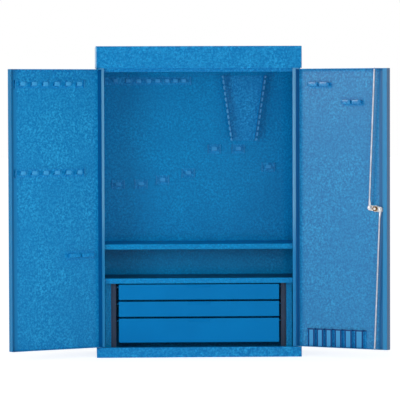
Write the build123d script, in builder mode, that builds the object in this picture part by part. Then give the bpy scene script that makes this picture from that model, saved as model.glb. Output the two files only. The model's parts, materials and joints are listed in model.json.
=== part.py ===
"""Wall tool cabinet in sheet steel: two hinged doors, two shelves, three drawers and tool holders.

Millimetres, +Z up. X runs to the viewer's right and Y runs to the back. The origin is the centre of the
base on the floor. The doors are drawn as they stand open, and turn about vertical pins in the top and base.
"""

from build123d import *

import os
from math import atan2, cos, degrees, hypot, radians, sin

os.makedirs("parts", exist_ok=True)

# ---------------------------------------------------------------- carcass sizes
body_width = 650.0
body_depth = 225.0
cabinet_height = 990.0
front_projection = 25.0  # header and plinth stand this far in front of the frame
carcass_sheet = 1.5
bend_radius = 2.5
ledge_round = 1.0
header_height = 70.0
header_overhang = 3.0  # header beyond the body, each side
plinth_height = 32.0
plinth_overhang = 1.5
stile_width = 25.0
stile_return = 12.0
rear_return = 15.0
rail_drop = 12.0  # front rail showing below the header
fixing_spacing = 361.0
lower_fixing_height = 225.0
upper_fixing_drop = 50.0  # below the top of the header
fixing_hole = 9.0

# ---------------------------------------------------------------- shelf sizes
shelf_sheet = 1.5
shelf_flange = 16.5
upper_shelf_height = 360.0
lower_shelf_height = 251.0
shelf_upstand = 14.0
shelf_side_gap = 1.5
shelf_lip_gap = 1.0
shelf_front_setback = 2.0
shelf_back_gap = 4.0
bracket_leg = 20.0

# ---------------------------------------------------------------- drawer sizes
drawer_sheet = 1.0
drawer_front_width = 512.0
drawer_front_heights = (49.0, 48.5, 77.0)
drawer_gap = 5.5
drawer_top_gap = 3.5
drawer_front_fold = 11.0
drawer_tray_width = 500.0
drawer_tray_top_gap = 8.0
drawer_tray_bottom_gap = 3.0
drawer_back_gap = 17.0
drawer_rim = 12.0
pull_width = 70.0
pull_reach = 3.0
pull_depth = 8.0
housing_width = 560.0
housing_setback = 25.0  # behind the shelf's front flange
runner_sheet = 1.5
runner_leg = 10.0
runner_overlap = 9.0
runner_setback = 25.0  # behind the front end of the drawer's rim
post_depth = 12.0
post_clearance = 2.0
slide_clearance = 0.3

# ---------------------------------------------------------------- door sizes
door_sheet = 1.2
door_depth = 22.5
door_bend = 2.0
door_meeting_gap = 1.6
door_top_gap = 3.0
door_bottom_gap = 2.5
hinge_inset = 4.2  # pin axis in from the door's outer side and face
hinge_pin = 5.0
hinge_clearance = 0.05
pin_engagement = 4.0
pin_foot_width = 7.0
pin_foot_depth = 14.0
pin_foot_height = 2.5
washer_diameter = 8.0
left_door_open = 150.5
right_door_open = 147.5
closing_lip = 14.0

# ---------------------------------------------------------------- lock sizes
lock_reach = 273.5  # from the right door's hinge axis
lock_height = 476.5
spindle_diameter = 12.0
spindle_collar = 20.0
rosette_diameter = 38.0
rosette_height = 8.0
hub_diameter = 24.0
hub_height = 14.0
grip_length = 62.0
grip_width = 20.0
grip_thickness = 12.0
grip_round = 1.5
cylinder_diameter = 15.0
cylinder_height = 1.5
key_slot = (7.0, 2.0)
spindle_grip = 9.0
cam_length = 55.0
cam_width = 17.0
cam_thickness = 3.0
cam_standoff = 9.0
cam_tilt = 8.7
cam_pin_radius = 19.0
cam_pin = 6.0
cam_pin_head = 9.0
cam_pin_head_height = 1.5
nut_diameter = 15.0
nut_thread = 8.0
nut_height = 5.0
rod_diameter = 6.0
rod_eye = 14.0
rod_eye_inset = 2.0  # the round rod starts this far inside its flattened eye
rod_plate = 3.0
rod_lift = 0.2  # the round rod stands this far above the back of its eye
rod_overrun = 1.5
rod_slot_slack = 4.5
lock_gap = 0.3
keeper_hole = 11.0

# ---------------------------------------------------------------- tool holder sizes
holder_sheet = 1.2
hook_reach = 16.0
hook_rise = 13.0
hook_floor = 6.0  # underside of a hook below the middle of its strip
rail_ear = 6.0
door_rail_width = 248.0
door_rail_height = 26.0
door_rail_middle = 173.5
upper_rail_drop = 47.0  # below the top of the door
lower_rail_drop = 326.0
door_hook_count = 6
door_hook_pitch = 40.6
door_hook_width = 18.0
back_rail_width = 280.0
back_rail_middle = -156.0
back_rail_drop = 40.0  # below the header
back_hook_width = 15.0
back_hook_places = (-261.0, -220.5, -186.0, -153.5, -124.5, -94.0, -67.0, -40.0)
clip_width = 41.0
clip_height = 30.0
clip_hook_width = 17.0
# middle across and drop below the header
clip_places = (
    (-253.5, 376.0),
    (-179.5, 375.0),
    (-109.5, 362.0),
    (-26.0, 339.5),
    (59.0, 261.5),
    (137.0, 261.5),
    (235.0, 321.0),
)
# reach from the hinge, drop below the door's top, plate width and height, loop width
left_door_loops = (66.0, 588.0, 104.0, 30.0, 46.0)
right_door_upper_loops = (71.5, 49.5, 85.0, 25.0, 37.0)
right_door_lower_loops = (188.5, 105.5, 76.0, 24.0, 34.0)
loop_depth = 17.0
loop_height = 12.0
loop_corner = 7.5
loop_gap = 2.0
pocket_spans = ((33.5, 22), (64.7, 22), (95.8, 22), (129, 23), (164.5, 24), (202, 26.5))
pocket_height = 56.0
pocket_depth = 9.0
pocket_foot = 8.0
rack_drop = 23.0  # below the header
rack_height = 211.0
rack_top_width = 136.0
rack_bottom_width = 76.5
rack_top_middle = 155.3
rack_bottom_middle = 154.2
rack_depth = 40.0
rack_lip = 5.0
rack_tooth_pitch = 19.0
rack_tooth_gap = 6.0
rack_notch_depth = 13.0

# ---------------------------------------------------------------- derived places
front_y = -(body_depth + front_projection) / 2
frame_y = front_y + front_projection
back_y = frame_y + body_depth
half_width = body_width / 2
roof_bottom = cabinet_height - carcass_sheet
header_bottom = cabinet_height - header_height
opening_half = half_width - stile_width
back_panel_front = back_y - 2 * carcass_sheet
floor_top = carcass_sheet
door_top = header_bottom - door_top_gap
door_bottom = plinth_height + door_bottom_gap
door_height = door_top - door_bottom
hinge_x = half_width - hinge_inset
hinge_y = front_y + hinge_inset
door_reach = hinge_x - door_meeting_gap / 2
panel_inside = door_sheet - hinge_inset  # offset of the panel's inner face from the hinge axis
rim_offset = door_depth - hinge_inset

LEFT, RIGHT = -1, 1


def write(builder, name):
    """Label a finished piece and write it under its own name."""
    builder.part.label = name
    export_step(builder.part, f"parts/{name}.step")


def door_plane(side, offset_out=0.0):
    """Plane of a door as it stands: local x is side times the reach from the hinge, y is height."""
    swing = radians(180 - (left_door_open if side == LEFT else right_door_open))
    outward = Vector(-side * sin(swing), -cos(swing), 0)
    along = Vector(cos(swing), -side * sin(swing), 0)
    hinge = Vector(side * hinge_x, hinge_y, 0)
    return Plane(origin=hinge, x_dir=along, z_dir=outward).offset(offset_out)


def wall_plane():
    """Inner face of the back panel: local x is X, y is height and z comes out of the wall."""
    return Plane(origin=(0, back_panel_front, 0), x_dir=(1, 0, 0), z_dir=(0, -1, 0))


def side_section(plane, across):
    """Plane square to a holder's length at local x = across: sketch x leaves the wall, y is up."""
    place = plane.from_local_coords(Vector(across, 0, 0))
    return Plane(origin=place, x_dir=plane.z_dir, z_dir=-plane.x_dir)


def plan_section(plane, height):
    """Level plane at a height: sketch x runs along the wall and sketch y leads into the wall."""
    place = plane.from_local_coords(Vector(0, height, 0))
    return Plane(origin=place, x_dir=plane.x_dir, z_dir=(0, 0, 1))


# ---------------------------------------------------------------- carcass
for side, name in ((LEFT, "left_side_wall"), (RIGHT, "right_side_wall")):
    with BuildPart() as side_wall:
        with BuildSketch(Plane.XY.offset(floor_top)):
            with BuildLine():
                FilletPolyline(
                    (side * opening_half, frame_y + stile_return),
                    (side * opening_half, frame_y),
                    (side * half_width, frame_y),
                    (side * half_width, back_y),
                    (side * (half_width - rear_return), back_y),
                    radius=bend_radius,
                )
                offset(amount=carcass_sheet, side=Side.RIGHT if side == LEFT else Side.LEFT)
            make_face()
        extrude(amount=roof_bottom - floor_top)
    write(side_wall, name)

keeper_x = hinge_x - lock_reach
rod_offset = panel_inside + cam_standoff + cam_thickness + lock_gap + rod_lift + rod_diameter / 2
keeper_y = hinge_y + rod_offset

with BuildPart() as header_cap:
    with BuildSketch(Plane.XY.offset(header_bottom)):
        with Locations((0, (front_y + back_y) / 2)):
            Rectangle(body_width + 2 * header_overhang, back_y - front_y)
    extrude(amount=header_height)
    roof_face = header_cap.faces().sort_by(Axis.Z)[-1]
    roof_edges = roof_face.edges().filter_by_position(Axis.Y, front_y - 1, back_y - 1)
    post_edges = header_cap.faces().sort_by(Axis.Y)[0].edges().filter_by(Axis.Z)
    fillet(roof_edges + post_edges, radius=bend_radius)
    open_faces = [header_cap.faces().sort_by(Axis.Z)[0], header_cap.faces().sort_by(Axis.Y)[-1]]
    offset(amount=-carcass_sheet, openings=open_faces)
    with BuildSketch(Plane.XY.offset(header_bottom)):
        with Locations((0, (front_y + frame_y) / 2 + carcass_sheet / 2)):
            Rectangle(body_width + 2 * header_overhang - 2 * bend_radius, front_projection - carcass_sheet)
        with Locations((-hinge_x, hinge_y), (hinge_x, hinge_y)):
            Circle(hinge_pin / 2, mode=Mode.SUBTRACT)
        with Locations((keeper_x, keeper_y)):
            Circle(keeper_hole / 2, mode=Mode.SUBTRACT)
    extrude(amount=carcass_sheet)
write(header_cap, "header_cap")

with BuildPart() as base_tray:
    with BuildSketch(Plane.XY):
        with Locations((0, (front_y + back_y) / 2)):
            Rectangle(body_width + 2 * plinth_overhang, back_y - front_y)
    extrude(amount=plinth_height)
    fillet(base_tray.faces().sort_by(Axis.Y)[0].edges().filter_by(Axis.Z), radius=bend_radius)
    open_faces = [base_tray.faces().sort_by(Axis.Z)[-1], base_tray.faces().sort_by(Axis.Y)[-1]]
    offset(amount=-carcass_sheet, openings=open_faces)
    with BuildSketch(Plane.XY.offset(plinth_height - carcass_sheet)):
        with Locations((0, (front_y + frame_y) / 2 + carcass_sheet / 2)):
            Rectangle(body_width + 2 * plinth_overhang - 2 * bend_radius, front_projection - carcass_sheet)
        with Locations((-hinge_x, hinge_y), (hinge_x, hinge_y)):
            Circle(hinge_pin / 2, mode=Mode.SUBTRACT)
        with Locations((keeper_x, keeper_y)):
            Circle(keeper_hole / 2, mode=Mode.SUBTRACT)
    extrude(amount=carcass_sheet)
    long_edges = base_tray.edges().filter_by(Axis.X)
    nose = long_edges.filter_by_position(Axis.Z, plinth_height - 0.1, plinth_height + 0.1)
    fillet(nose.sort_by(Axis.Y)[0], radius=ledge_round)
write(base_tray, "base_tray")

with BuildPart() as back_panel:
    with BuildSketch(Plane.XZ.offset(-back_panel_front)):
        with Locations((0, (floor_top + roof_bottom) / 2)):
            Rectangle(body_width - 2 * bend_radius, roof_bottom - floor_top)
        for height in (lower_fixing_height, cabinet_height - upper_fixing_drop):
            with Locations((-fixing_spacing / 2, height), (fixing_spacing / 2, height)):
                Circle(fixing_hole / 2, mode=Mode.SUBTRACT)
    extrude(amount=-carcass_sheet)
write(back_panel, "back_panel")

with BuildPart() as top_rail:
    with BuildSketch(Plane.YZ.offset(-opening_half)):
        with BuildLine():
            FilletPolyline(
                (frame_y + stile_return, header_bottom - rail_drop),
                (frame_y, header_bottom - rail_drop),
                (frame_y, roof_bottom),
                radius=bend_radius,
            )
            offset(amount=carcass_sheet, side=Side.RIGHT)
        make_face()
    extrude(amount=2 * opening_half)
write(top_rail, "top_rail")


# ---------------------------------------------------------------- shelves and drawer housing
shelf_front = frame_y + shelf_front_setback
shelf_back = back_panel_front - shelf_back_gap
shelf_half = half_width - carcass_sheet - shelf_side_gap
shelf_nose_half = opening_half - shelf_lip_gap
shelf_shoulder = frame_y + stile_return + shelf_side_gap


def folded_shelf(top, upstand):
    """Shelf sheet with a folded front flange, notched round the stiles, and a rear upstand if it has one."""
    with BuildPart() as shelf:
        with BuildSketch(Plane.XY.offset(top - shelf_sheet)):
            with Locations((0, (shelf_shoulder + shelf_back) / 2)):
                Rectangle(2 * shelf_half, shelf_back - shelf_shoulder)
            with Locations((0, (shelf_front + shelf_shoulder) / 2)):
                Rectangle(2 * shelf_nose_half, shelf_shoulder - shelf_front)
        extrude(amount=shelf_sheet)
        with BuildSketch(Plane.XZ.offset(-shelf_front)):
            with Locations((0, top - shelf_flange / 2)):
                Rectangle(2 * shelf_nose_half, shelf_flange)
        extrude(amount=-shelf_sheet)
        if upstand:
            with BuildSketch(Plane.XZ.offset(-shelf_back)):
                with Locations((0, top + upstand / 2)):
                    Rectangle(2 * opening_half, upstand)
            extrude(amount=shelf_sheet)
        nose = shelf.edges().filter_by(Axis.X).group_by(Axis.Y)[0].sort_by(Axis.Z)[-1]
        fillet(nose, radius=shelf_sheet)
    return shelf


write(folded_shelf(upper_shelf_height, shelf_upstand), "upper_shelf")
write(folded_shelf(lower_shelf_height, 0), "lower_shelf")

for side, name in ((LEFT, "left_shelf_bracket"), (RIGHT, "right_shelf_bracket")):
    wall_face = side * (half_width - carcass_sheet)
    ledge_top = upper_shelf_height - shelf_sheet
    with BuildPart() as bracket:
        with BuildSketch(Plane.XZ.offset(-shelf_shoulder)):
            with BuildLine():
                FilletPolyline(
                    (wall_face, ledge_top - bracket_leg),
                    (wall_face, ledge_top),
                    (wall_face - side * bracket_leg, ledge_top),
                    radius=bend_radius,
                )
                offset(amount=shelf_sheet, side=Side.LEFT if side == RIGHT else Side.RIGHT)
            make_face()
        extrude(amount=-(shelf_back - shelf_shoulder))
    write(bracket, name)

housing_half = housing_width / 2
housing_front = shelf_front + shelf_sheet + housing_setback
housing_top = lower_shelf_height - shelf_sheet
for side, name in ((LEFT, "left_housing_side"), (RIGHT, "right_housing_side")):
    with BuildPart() as housing_side:
        with BuildSketch(Plane.XY.offset(floor_top)):
            with BuildLine():
                FilletPolyline(
                    (side * shelf_nose_half, housing_front),
                    (side * housing_half, housing_front),
                    (side * housing_half, shelf_back),
                    (side * (housing_half + rear_return), shelf_back),
                    radius=bend_radius,
                )
                offset(amount=carcass_sheet, side=Side.LEFT if side == LEFT else Side.RIGHT)
            make_face()
        extrude(amount=housing_top - floor_top)
    write(housing_side, name)

# ---------------------------------------------------------------- drawers and their runners
drawer_front_y = shelf_front
tray_front = drawer_front_y + drawer_sheet
tray_back = shelf_back - drawer_back_gap
front_half = drawer_front_width / 2
tray_half = drawer_tray_width / 2
rim_half = tray_half + drawer_rim
rim_front = drawer_front_y + drawer_front_fold + 2 * drawer_sheet

front_top = lower_shelf_height - shelf_flange - drawer_top_gap
for label, front_height in zip(("top", "middle", "bottom"), drawer_front_heights):
    front_bottom = front_top - front_height
    tray_top = front_top - drawer_tray_top_gap
    tray_bottom = front_bottom + drawer_tray_bottom_gap

    with BuildPart() as drawer_front:
        with BuildSketch(Plane.XZ.offset(-drawer_front_y)):
            with Locations((0, (front_top + front_bottom) / 2)):
                Rectangle(drawer_front_width, front_height)
        extrude(amount=-drawer_front_fold - drawer_sheet)
        fillet(drawer_front.faces().sort_by(Axis.Y)[0].edges(), radius=drawer_sheet * 1.5)
        offset(amount=-drawer_sheet, openings=drawer_front.faces().sort_by(Axis.Y)[-1])
        pull_root = (drawer_front_y + drawer_sheet / 2, front_top - pull_depth)
        pull_tip = (drawer_front_y - pull_reach, front_top)
        with BuildSketch(Plane.YZ.offset(-pull_width / 2)):
            with BuildLine():
                Polyline(
                    pull_root,
                    pull_tip,
                    (pull_tip[0] + drawer_sheet, pull_tip[1]),
                    (drawer_front_y + drawer_sheet, front_top - drawer_sheet),
                    (drawer_front_y + drawer_sheet, front_top - pull_depth),
                    close=True,
                )
            make_face()
        extrude(amount=pull_width)
    write(drawer_front, f"{label}_drawer_front")

    with BuildPart() as drawer_tray:
        with BuildSketch(Plane.XY.offset(tray_bottom)):
            with Locations((0, (tray_front + tray_back) / 2)):
                Rectangle(drawer_tray_width, tray_back - tray_front)
        extrude(amount=tray_top - tray_bottom)
        offset(amount=-drawer_sheet, openings=drawer_tray.faces().sort_by(Axis.Z)[-1])
        with BuildSketch(Plane.XY.offset(tray_top - drawer_sheet)):
            for side in (LEFT, RIGHT):
                with Locations((side * (tray_half + rim_half) / 2, (rim_front + tray_back) / 2)):
                    Rectangle(drawer_rim, tray_back - rim_front)
        extrude(amount=drawer_sheet)
    write(drawer_tray, f"{label}_drawer_tray")

    ledge_height = tray_top - drawer_sheet - slide_clearance
    for side, hand in ((LEFT, "left"), (RIGHT, "right")):
        runner_foot = side * housing_half
        with BuildPart() as runner:
            with BuildSketch(Plane.XZ.offset(-rim_front - runner_setback)):
                with BuildLine():
                    Polyline(
                        (runner_foot, ledge_height - runner_leg),
                        (runner_foot, ledge_height),
                        (side * (rim_half - runner_overlap), ledge_height),
                    )
                    offset(amount=runner_sheet, side=Side.LEFT if side == RIGHT else Side.RIGHT)
                make_face()
            extrude(amount=-(tray_back - rim_front - runner_setback))
        write(runner, f"{hand}_{label}_runner")
    front_top = front_bottom - drawer_gap

# angle posts that close the housing's sides in front of the runners
post_back = rim_front + runner_setback
post_top = lower_shelf_height - shelf_flange
for side, name in ((LEFT, "left_runner_post"), (RIGHT, "right_runner_post")):
    with BuildPart() as post:
        with BuildSketch(Plane.XY.offset(floor_top)):
            with BuildLine():
                Polyline(
                    (side * housing_half, post_back - post_depth),
                    (side * housing_half, post_back),
                    (side * (rim_half + post_clearance), post_back),
                )
                offset(amount=runner_sheet, side=Side.RIGHT if side == LEFT else Side.LEFT)
            make_face()
        extrude(amount=post_top - floor_top)
    write(post, name)

# ---------------------------------------------------------------- hinge pins and washers
for side, hand in ((LEFT, "left"), (RIGHT, "right")):
    pin_place = (side * hinge_x, hinge_y)
    foot_place = (side * hinge_x, hinge_y + (pin_foot_depth - hinge_pin) / 2)
    upper_tip = door_top - door_sheet - pin_engagement
    with BuildPart() as upper_pin:
        with BuildSketch(Plane.XY.offset(upper_tip)):
            with Locations(pin_place):
                Circle(hinge_pin / 2)
        extrude(amount=header_bottom + carcass_sheet - upper_tip)
        with BuildSketch(Plane.XY.offset(header_bottom + carcass_sheet)):
            with Locations(foot_place):
                Rectangle(pin_foot_width, pin_foot_depth)
        extrude(amount=pin_foot_height)
    write(upper_pin, f"{hand}_upper_hinge_pin")

    lower_tip = door_bottom + door_sheet + pin_engagement
    with BuildPart() as lower_pin:
        with BuildSketch(Plane.XY.offset(plinth_height - carcass_sheet)):
            with Locations(pin_place):
                Circle(hinge_pin / 2)
        extrude(amount=lower_tip - (plinth_height - carcass_sheet))
        with BuildSketch(Plane.XY.offset(plinth_height - carcass_sheet)):
            with Locations(foot_place):
                Rectangle(pin_foot_width, pin_foot_depth)
        extrude(amount=-pin_foot_height)
    write(lower_pin, f"{hand}_lower_hinge_pin")

    with BuildPart() as washer:
        with BuildSketch(Plane.XY.offset(plinth_height)):
            with Locations((side * hinge_x, hinge_y)):
                Circle(washer_diameter / 2)
                Circle(hinge_pin / 2, mode=Mode.SUBTRACT)
        extrude(amount=door_bottom_gap - slide_clearance)
    write(washer, f"{hand}_hinge_washer")

# ---------------------------------------------------------------- door pans
rod_slot_length = rod_diameter + 2 * rod_slot_slack
rod_slot_width = rod_diameter + 1.0
for side, hand in ((LEFT, "left"), (RIGHT, "right")):
    pan_middle = side * (door_reach - hinge_inset) / 2
    outward = Axis(origin=(0, 0, 0), direction=door_plane(side).z_dir)
    level = door_plane(side)
    with BuildPart() as door_pan:
        with BuildSketch(door_plane(side, -hinge_inset)):
            with Locations((pan_middle, (door_top + door_bottom) / 2)):
                Rectangle(door_reach + hinge_inset, door_height)
        extrude(amount=door_depth)
        fillet(door_pan.faces().sort_by(outward)[0].edges(), radius=door_bend)
        offset(amount=-door_sheet, openings=door_pan.faces().sort_by(outward)[-1])
        with BuildSketch(Plane.XY.offset(door_bottom)):
            with Locations((side * hinge_x, hinge_y)):
                Circle(hinge_pin / 2 + hinge_clearance)
        extrude(amount=door_height, mode=Mode.SUBTRACT)
        if side == RIGHT:
            with BuildSketch(door_plane(side, rim_offset - door_sheet)):
                with Locations((door_reach - closing_lip / 2, (door_top + door_bottom) / 2)):
                    Rectangle(closing_lip, door_height - 2 * door_sheet)
            extrude(amount=door_sheet)
            with BuildSketch(door_plane(side, -hinge_inset)):
                with Locations((lock_reach, lock_height)):
                    Circle(spindle_diameter / 2 + hinge_clearance)
            extrude(amount=door_sheet, mode=Mode.SUBTRACT)
            with BuildSketch(plan_section(level, door_bottom)):
                with Locations((lock_reach, -rod_offset)):
                    Rectangle(rod_slot_length, rod_slot_width)
            extrude(amount=door_height, mode=Mode.SUBTRACT)
    write(door_pan, f"{hand}_door_panel")


# ---------------------------------------------------------------- tool holders
def hook_strip(plane, middle, height, width, strip_height, hook_places, hook_width):
    """Folded strip with end ears and upturned hooks, flat on a panel. Places are along the plane's x."""
    with BuildPart() as strip:
        with BuildSketch(plane):
            with Locations((middle, height)):
                Rectangle(width, strip_height)
        extrude(amount=holder_sheet)
        for end in (-1, 1):
            with BuildSketch(plane.offset(holder_sheet)):
                with Locations((middle + end * (width - holder_sheet) / 2, height)):
                    Rectangle(holder_sheet, strip_height)
            extrude(amount=rail_ear)
        for place in hook_places:
            with BuildSketch(side_section(plane, place + hook_width / 2)):
                with BuildLine():
                    FilletPolyline(
                        (0, height - hook_floor),
                        (hook_reach, height - hook_floor),
                        (hook_reach, height - hook_floor + hook_rise),
                        radius=hook_reach / 3,
                    )
                    offset(amount=holder_sheet, side=Side.LEFT)
                make_face()
            extrude(amount=hook_width)
    return strip


first_door_hook = door_rail_middle - (door_hook_count - 1) * door_hook_pitch / 2
door_hook_places = [LEFT * (first_door_hook + turn * door_hook_pitch) for turn in range(door_hook_count)]
for drop, name in (
    (upper_rail_drop, "left_door_upper_strip"),
    (lower_rail_drop, "left_door_lower_strip"),
):
    write(
        hook_strip(
            door_plane(LEFT, panel_inside),
            LEFT * door_rail_middle,
            door_top - drop,
            door_rail_width,
            door_rail_height,
            door_hook_places,
            door_hook_width,
        ),
        name,
    )

write(
    hook_strip(
        wall_plane(),
        back_rail_middle,
        header_bottom - back_rail_drop,
        back_rail_width,
        door_rail_height,
        back_hook_places,
        back_hook_width,
    ),
    "back_hook_strip",
)

for number, (across, drop) in enumerate(clip_places, start=1):
    clip = hook_strip(
        wall_plane(), across, header_bottom - drop, clip_width, clip_height, [across], clip_hook_width
    )
    write(clip, f"tool_clip_{number}")


def loop_holder(side, reach, drop, width, strip_height, loop_width):
    """Plate on a door with two flat band loops side by side, open above and below."""
    plane = door_plane(side, panel_inside)
    middle = side * reach
    height = door_top - drop
    with BuildPart() as holder:
        with BuildSketch(plane):
            with Locations((middle, height)):
                Rectangle(width, strip_height)
        extrude(amount=holder_sheet)
        for end in (-1, 1):
            loop_middle = middle + end * (loop_width + loop_gap) / 2
            with BuildSketch(plan_section(plane, height - loop_height / 2)):
                with Locations((loop_middle, -holder_sheet / 2 - loop_depth / 2)):
                    RectangleRounded(loop_width, loop_depth, loop_corner)
                    RectangleRounded(
                        loop_width - 2 * holder_sheet,
                        loop_depth - 2 * holder_sheet,
                        loop_corner - holder_sheet,
                        mode=Mode.SUBTRACT,
                    )
            extrude(amount=loop_height)
    return holder


write(loop_holder(LEFT, *left_door_loops), "left_door_loop_holder")
write(loop_holder(RIGHT, *right_door_upper_loops), "right_door_upper_loop_holder")
write(loop_holder(RIGHT, *right_door_lower_loops), "right_door_lower_loop_holder")

# corrugated strip whose raised ribs make pockets for drills and bits
with BuildPart() as pocket_strip:
    with BuildSketch(plan_section(door_plane(RIGHT, panel_inside), door_bottom + door_bend)):
        pocket_path = [(pocket_spans[0][0] - pocket_foot, 0)]
        for start, span in pocket_spans:
            pocket_path += [(start, 0), (start, -pocket_depth)]
            pocket_path += [(start + span, -pocket_depth), (start + span, 0)]
        pocket_path.append((pocket_spans[-1][0] + pocket_spans[-1][1] + pocket_foot, 0))
        with BuildLine():
            Polyline(*pocket_path)
            offset(amount=holder_sheet, side=Side.RIGHT)
        make_face()
    extrude(amount=pocket_height)
write(pocket_strip, "bit_pocket_strip")

# tapering rack: a plate between two forward flanges whose lips are notched for spanners
rack_top = header_bottom - rack_drop
rack_bottom = rack_top - rack_height
with BuildPart() as spanner_rack:
    with BuildSketch(wall_plane()):
        with BuildLine():
            Polyline(
                (rack_top_middle - rack_top_width / 2, rack_top),
                (rack_top_middle + rack_top_width / 2, rack_top),
                (rack_bottom_middle + rack_bottom_width / 2, rack_bottom),
                (rack_bottom_middle - rack_bottom_width / 2, rack_bottom),
                close=True,
            )
        make_face()
    extrude(amount=holder_sheet)
    for side in (LEFT, RIGHT):
        foot = Vector(rack_bottom_middle + side * rack_bottom_width / 2, rack_bottom)
        head = Vector(rack_top_middle + side * rack_top_width / 2, rack_top)
        lean = head.X - foot.X
        flange_length = hypot(lean, rack_height)
        rise = Vector(lean, rack_height) / flange_length
        across = Vector(side * holder_sheet, 0)
        lip = Vector(side * rack_lip, 0)
        with BuildSketch(wall_plane()):
            with BuildLine():
                Polyline(foot, head, head - across, foot - across, close=True)
            make_face()
        extrude(amount=rack_depth)
        with BuildSketch(wall_plane().offset(rack_depth - holder_sheet)):
            with BuildLine():
                Polyline(foot, head, head + lip, foot + lip, close=True)
            make_face()
        extrude(amount=holder_sheet)
        tooth_count = int(flange_length // rack_tooth_pitch)
        first_notch = (flange_length - (tooth_count - 1) * rack_tooth_pitch) / 2
        notch_steps = [first_notch + turn * rack_tooth_pitch for turn in range(tooth_count)]
        notch_middles = [foot + rise * step for step in notch_steps]
        with BuildSketch(wall_plane().offset(rack_depth - rack_notch_depth)):
            for middle in notch_middles:
                with Locations((middle.X, middle.Y)):
                    Rectangle(2 * (rack_lip + holder_sheet) + 2, rack_tooth_gap)
        extrude(amount=rack_notch_depth, mode=Mode.SUBTRACT)
write(spanner_rack, "spanner_rack")

# ---------------------------------------------------------------- lock on the right door
lock_place = (lock_reach, lock_height)
rosette_face = -hinge_inset - rosette_height
hub_back = rosette_face - lock_gap
hub_face = hub_back - hub_height
cam_back = panel_inside + cam_standoff
cam_face = cam_back + cam_thickness
rod_back = cam_face + lock_gap
pin_head_back = rod_back + rod_plate + lock_gap


def lock_plane(offset_out):
    """Door plane at an offset, with its origin on the lock's axis."""
    plane = door_plane(RIGHT, offset_out)
    axis_point = plane.from_local_coords(Vector(*lock_place, 0))
    return Plane(origin=axis_point, x_dir=plane.x_dir, z_dir=plane.z_dir)


with BuildPart() as rosette:
    with BuildSketch(lock_plane(-hinge_inset)):
        Circle(rosette_diameter / 2)
        Circle(spindle_diameter / 2 + hinge_clearance, mode=Mode.SUBTRACT)
    extrude(amount=-rosette_height)
    outer_rim = rosette.edges().filter_by(GeomType.CIRCLE).sort_by(SortBy.RADIUS)[-2:]
    fillet(outer_rim.sort_by(Axis.Y)[-1], radius=rosette_height / 4)
write(rosette, "lock_rosette")

outward_axis = Axis(origin=(0, 0, 0), direction=door_plane(RIGHT).z_dir)
with BuildPart() as handle:
    with BuildSketch(lock_plane(hub_face)):
        SlotOverall(grip_length, grip_width, rotation=-cam_tilt)
    extrude(amount=grip_thickness)
    fillet(handle.faces().sort_by(outward_axis)[0].edges(), radius=grip_round)
    with BuildSketch(lock_plane(hub_back)):
        Circle(hub_diameter / 2)
    extrude(amount=-(hub_height - 2 * grip_round))
    with BuildSketch(lock_plane(hub_face)):
        Circle(cylinder_diameter / 2)
    extrude(amount=cylinder_height, mode=Mode.SUBTRACT)
    with BuildSketch(lock_plane(hub_back)):
        Circle(spindle_diameter / 2)
    extrude(amount=-spindle_grip, mode=Mode.SUBTRACT)
write(handle, "lock_handle")

with BuildPart() as key_cylinder:
    with BuildSketch(lock_plane(hub_face)):
        Circle(cylinder_diameter / 2)
        Rectangle(key_slot[0], key_slot[1], rotation=-cam_tilt, mode=Mode.SUBTRACT)
    extrude(amount=cylinder_height)
write(key_cylinder, "key_cylinder")

with BuildPart() as spindle:
    with BuildSketch(lock_plane(hub_back - spindle_grip)):
        Circle(spindle_diameter / 2)
    extrude(amount=cam_back - hub_back + spindle_grip)
    with BuildSketch(lock_plane(panel_inside + lock_gap)):
        Circle(spindle_collar / 2)
    extrude(amount=cam_standoff - lock_gap)
    with BuildSketch(lock_plane(cam_back)):
        Circle(nut_thread / 2)
    extrude(amount=cam_thickness + nut_height)
write(spindle, "lock_spindle")

pin_places = [
    (-cam_pin_radius * cos(radians(cam_tilt)), cam_pin_radius * sin(radians(cam_tilt))),
    (cam_pin_radius * cos(radians(cam_tilt)), -cam_pin_radius * sin(radians(cam_tilt))),
]
with BuildPart() as cam:
    with BuildSketch(lock_plane(cam_back)):
        SlotOverall(cam_length, cam_width, rotation=-cam_tilt)
        Circle(nut_thread / 2, mode=Mode.SUBTRACT)
        with Locations(*pin_places):
            Circle(cam_pin / 2, mode=Mode.SUBTRACT)
    extrude(amount=cam_thickness)
write(cam, "lock_cam")

with BuildPart() as cam_nut:
    with BuildSketch(lock_plane(cam_face)):
        RegularPolygon(nut_diameter / 2, 6, major_radius=False)
        Circle(nut_thread / 2, mode=Mode.SUBTRACT)
    extrude(amount=nut_height)
write(cam_nut, "cam_nut")

for pin_place, name in zip(pin_places, ("upper_cam_pin", "lower_cam_pin")):
    with BuildPart() as cam_pin_part:
        with BuildSketch(lock_plane(cam_back)):
            with Locations(pin_place):
                Circle(cam_pin / 2)
        extrude(amount=pin_head_back - cam_back)
        with BuildSketch(lock_plane(pin_head_back)):
            with Locations(pin_place):
                Circle(cam_pin_head / 2)
        extrude(amount=cam_pin_head_height)
    write(cam_pin_part, name)

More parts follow.
